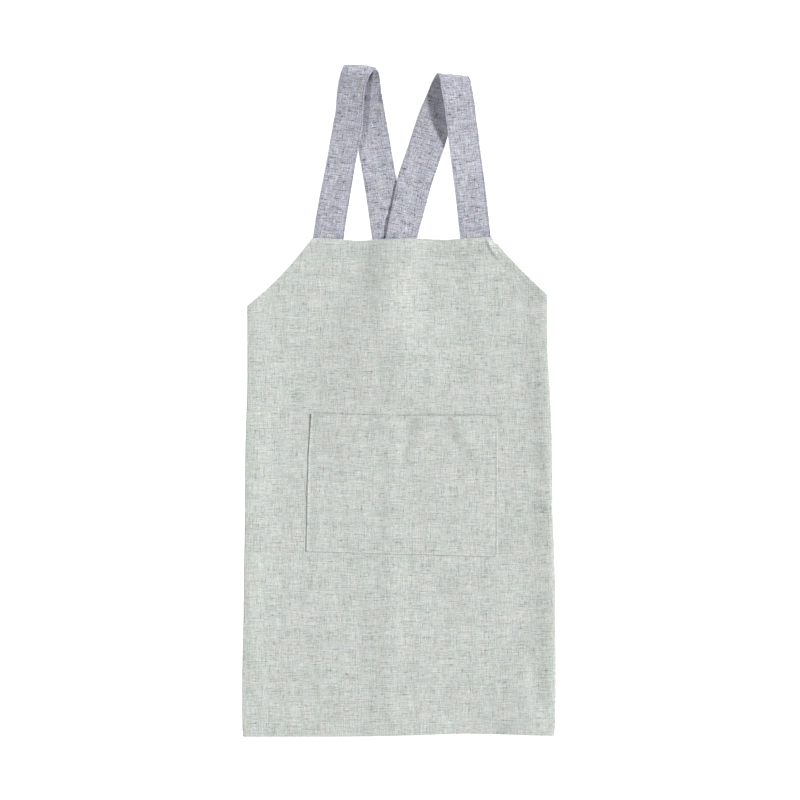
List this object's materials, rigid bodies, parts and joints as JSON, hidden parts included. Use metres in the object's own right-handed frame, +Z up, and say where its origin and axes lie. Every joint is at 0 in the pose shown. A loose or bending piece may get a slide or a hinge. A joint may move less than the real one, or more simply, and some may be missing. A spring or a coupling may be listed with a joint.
{
  "type": "cross-back canvas apron",
  "caption": "Wrap-around canvas apron laid flat: bib front with folded back flaps, a wide patch pocket and flat shoulder straps that cross at the back.",
  "frame": {"origin": "on the floor, below the middle of the apron's outline", "axes": "+Z up out of the apron's front face, +Y from the lower hem towards the shoulder straps, +X to the viewer's right when looking down on the front"},
  "size_m": [0.5322, 1.14, 0.0226],
  "materials": {
    "canvas": "matt heathered grey-green canvas",
    "strap_canvas": "matt heathered lilac-grey canvas"
  },
  "bodies": {
    "root": {"body": "canvas", "pocket": "canvas", "strap_left": "strap_canvas", "strap_right": "strap_canvas"}
  },
  "joints": []
}
